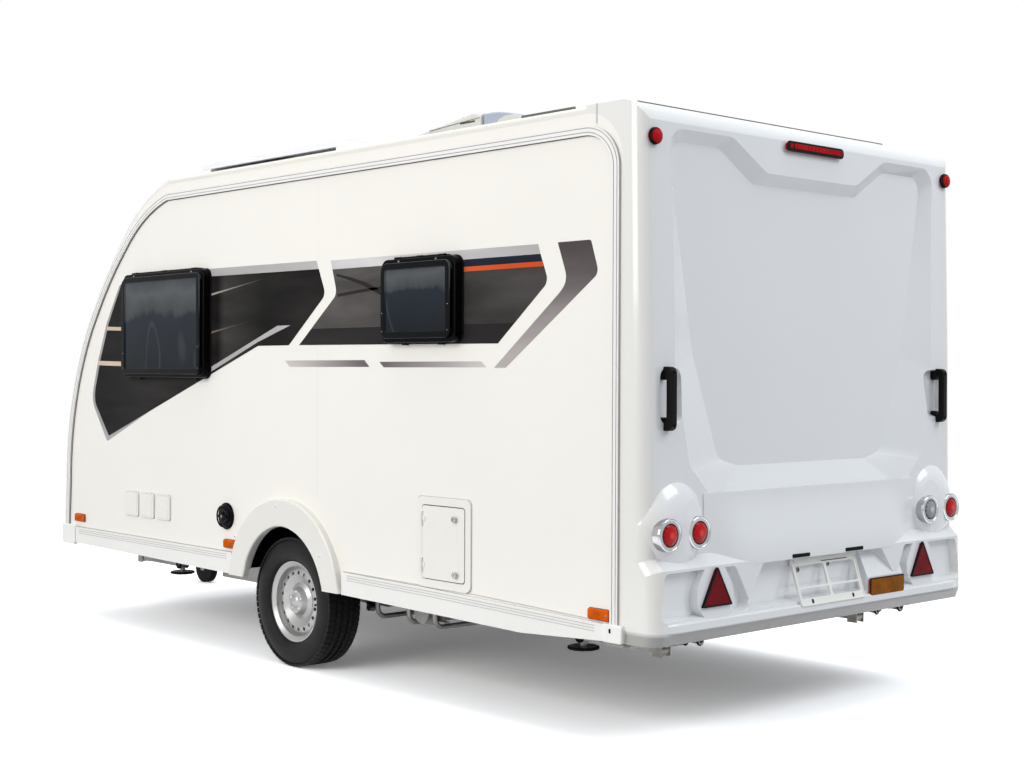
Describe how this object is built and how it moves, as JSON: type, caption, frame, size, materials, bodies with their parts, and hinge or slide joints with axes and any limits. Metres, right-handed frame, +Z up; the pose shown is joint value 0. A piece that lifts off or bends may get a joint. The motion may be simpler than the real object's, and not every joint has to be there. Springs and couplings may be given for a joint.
{
  "type": "travel caravan",
  "caption": "Single-axle travel caravan: curved nose, moulded rear, side door, windows, A-frame drawbar and jockey wheel.",
  "frame": {"origin": "on the ground at the middle of the caravan's overall length and width", "axes": "+X forward to the coupling, +Y to the left, +Z up"},
  "size_m": [5.916, 2.216, 2.702],
  "materials": {
    "shell_white": "gloss",
    "moulding_white": "gloss",
    "trim_white": "satin",
    "floor_board": "matte",
    "frame_black": "gloss",
    "acrylic_dark": "gloss",
    "galvanised": "satin",
    "alloy": "satin",
    "cast_grey": "satin",
    "rim_silver": "satin",
    "rubber_black": "matte",
    "tyre_black": "matte",
    "chrome_trim": "polished",
    "lamp_red": "gloss",
    "lamp_amber": "gloss",
    "lamp_clear": "gloss",
    "black_plastic": "matte",
    "solar_dark": "gloss"
  },
  "bodies": {
    "caravan": {"left_wall": "shell_white", "right_wall": "shell_white", "roof_panel": "moulding_white", "front_panel": "moulding_white", "rear_panel": "moulding_white", "floor_panel": "floor_board", "wheel_boxes": "black_plastic", "edge_rails": "trim_white", "skirt_rails": "trim_white", "wheel_arches": "trim_white", "skirt_caps": "trim_white", "carrier_hoops": "galvanised", "underfloor_tank": "black_plastic", "window_frames": "frame_black", "window_panes": "acrylic_dark", "door_frame": "alloy", "door_hinge_strip": "trim_white", "lid_hinge_rail": "trim_white", "cassette_frame": "trim_white", "service_hatches": "trim_white", "filler_cap": "black_plastic", "locker_bulkhead": "floor_board", "solar_panel": "solar_dark", "solar_mounts": "trim_white", "air_conditioner": "trim_white", "rooflight_frame": "trim_white", "lamp_bezels": "chrome_trim", "clear_lamp": "lamp_clear", "red_lamps": "lamp_red", "triangle_reflectors": "lamp_red", "amber_lamps": "lamp_amber", "plate_holder": "trim_white", "grab_handles": "frame_black", "chassis_rails": "galvanised", "drawbar": "galvanised", "axle_beam": "galvanised", "swing_arms": "galvanised", "overrun_housing": "cast_grey", "coupling_head": "cast_grey", "handbrake_lever": "black_plastic", "jockey_clamp": "galvanised", "steady_brackets": "galvanised"},
    "left_wheel": {"left_rim": "rim_silver", "left_tyre": "tyre_black"},
    "right_wheel": {"right_rim": "rim_silver", "right_tyre": "tyre_black"},
    "entrance_door": {"entrance_door": "shell_white", "door_window": "acrylic_dark", "door_handle": "black_plastic"},
    "cassette_door": {"cassette_door": "shell_white"},
    "gas_locker_lid": {"gas_locker_lid": "moulding_white"},
    "rooflight_lid": {"rooflight_lid": "acrylic_dark"},
    "front_left_steady": {"front_left_steady": "galvanised"},
    "front_right_steady": {"front_right_steady": "galvanised"},
    "rear_left_steady": {"rear_left_steady": "galvanised"},
    "rear_right_steady": {"rear_right_steady": "galvanised"},
    "jockey_stem": {"jockey_stem": "galvanised"},
    "jockey_fork": {"jockey_fork": "galvanised"},
    "jockey_wheel": {"jockey_wheel": "rubber_black"}
  },
  "joints": [
    {"name": "left_wheel_spin", "type": "hinge", "parent": "caravan", "child": "left_wheel", "pos_m": [-0.542, 0.9265, 0.314], "axis": [0, 1, 0], "continuous": true},
    {"name": "right_wheel_spin", "type": "hinge", "parent": "caravan", "child": "right_wheel", "pos_m": [-0.542, -0.9265, 0.314], "axis": [0, 1, 0], "continuous": true},
    {"name": "entrance_door_hinge", "type": "hinge", "parent": "caravan", "child": "entrance_door", "pos_m": [-1.032, -1.06, 1.3], "axis": [0, 0, 1], "range_deg": [0, 150]},
    {"name": "cassette_door_hinge", "type": "hinge", "parent": "caravan", "child": "cassette_door", "pos_m": [-1.588, 1.0618, 0.7], "axis": [0, 0, -1], "range_deg": [0, 120]},
    {"name": "gas_locker_hinge", "type": "hinge", "parent": "caravan", "child": "gas_locker_lid", "pos_m": [1.745, 0, 1.094], "axis": [0, -1, 0], "range_deg": [0, 75]},
    {"name": "rooflight_hinge", "type": "hinge", "parent": "caravan", "child": "rooflight_lid", "pos_m": [-1.74, 0, 2.478], "axis": [0, 1, 0], "range_deg": [0, 50]},
    {"name": "front_left_steady_fold", "type": "hinge", "parent": "caravan", "child": "front_left_steady", "pos_m": [1.518, 0.662, 0.318], "axis": [0, -1, 0], "range_deg": [0, 38]},
    {"name": "front_right_steady_fold", "type": "hinge", "parent": "caravan", "child": "front_right_steady", "pos_m": [1.518, -0.662, 0.318], "axis": [0, -1, 0], "range_deg": [0, 38]},
    {"name": "rear_left_steady_fold", "type": "hinge", "parent": "caravan", "child": "rear_left_steady", "pos_m": [-2.622, 0.662, 0.318], "axis": [0, 1, 0], "range_deg": [0, 38]},
    {"name": "rear_right_steady_fold", "type": "hinge", "parent": "caravan", "child": "rear_right_steady", "pos_m": [-2.622, -0.662, 0.318], "axis": [0, 1, 0], "range_deg": [0, 38]},
    {"name": "jockey_raise", "type": "slide", "parent": "caravan", "child": "jockey_stem", "axis": [0, 0, 1], "range_m": [0, 0.18]},
    {"name": "jockey_swivel", "type": "hinge", "parent": "jockey_stem", "child": "jockey_fork", "pos_m": [2.418, -0.29, 0.24], "axis": [0, 0, 1], "continuous": true},
    {"name": "jockey_wheel_spin", "type": "hinge", "parent": "jockey_fork", "child": "jockey_wheel", "pos_m": [2.378, -0.29, 0.1], "axis": [0, 1, 0], "continuous": true}
  ]
}
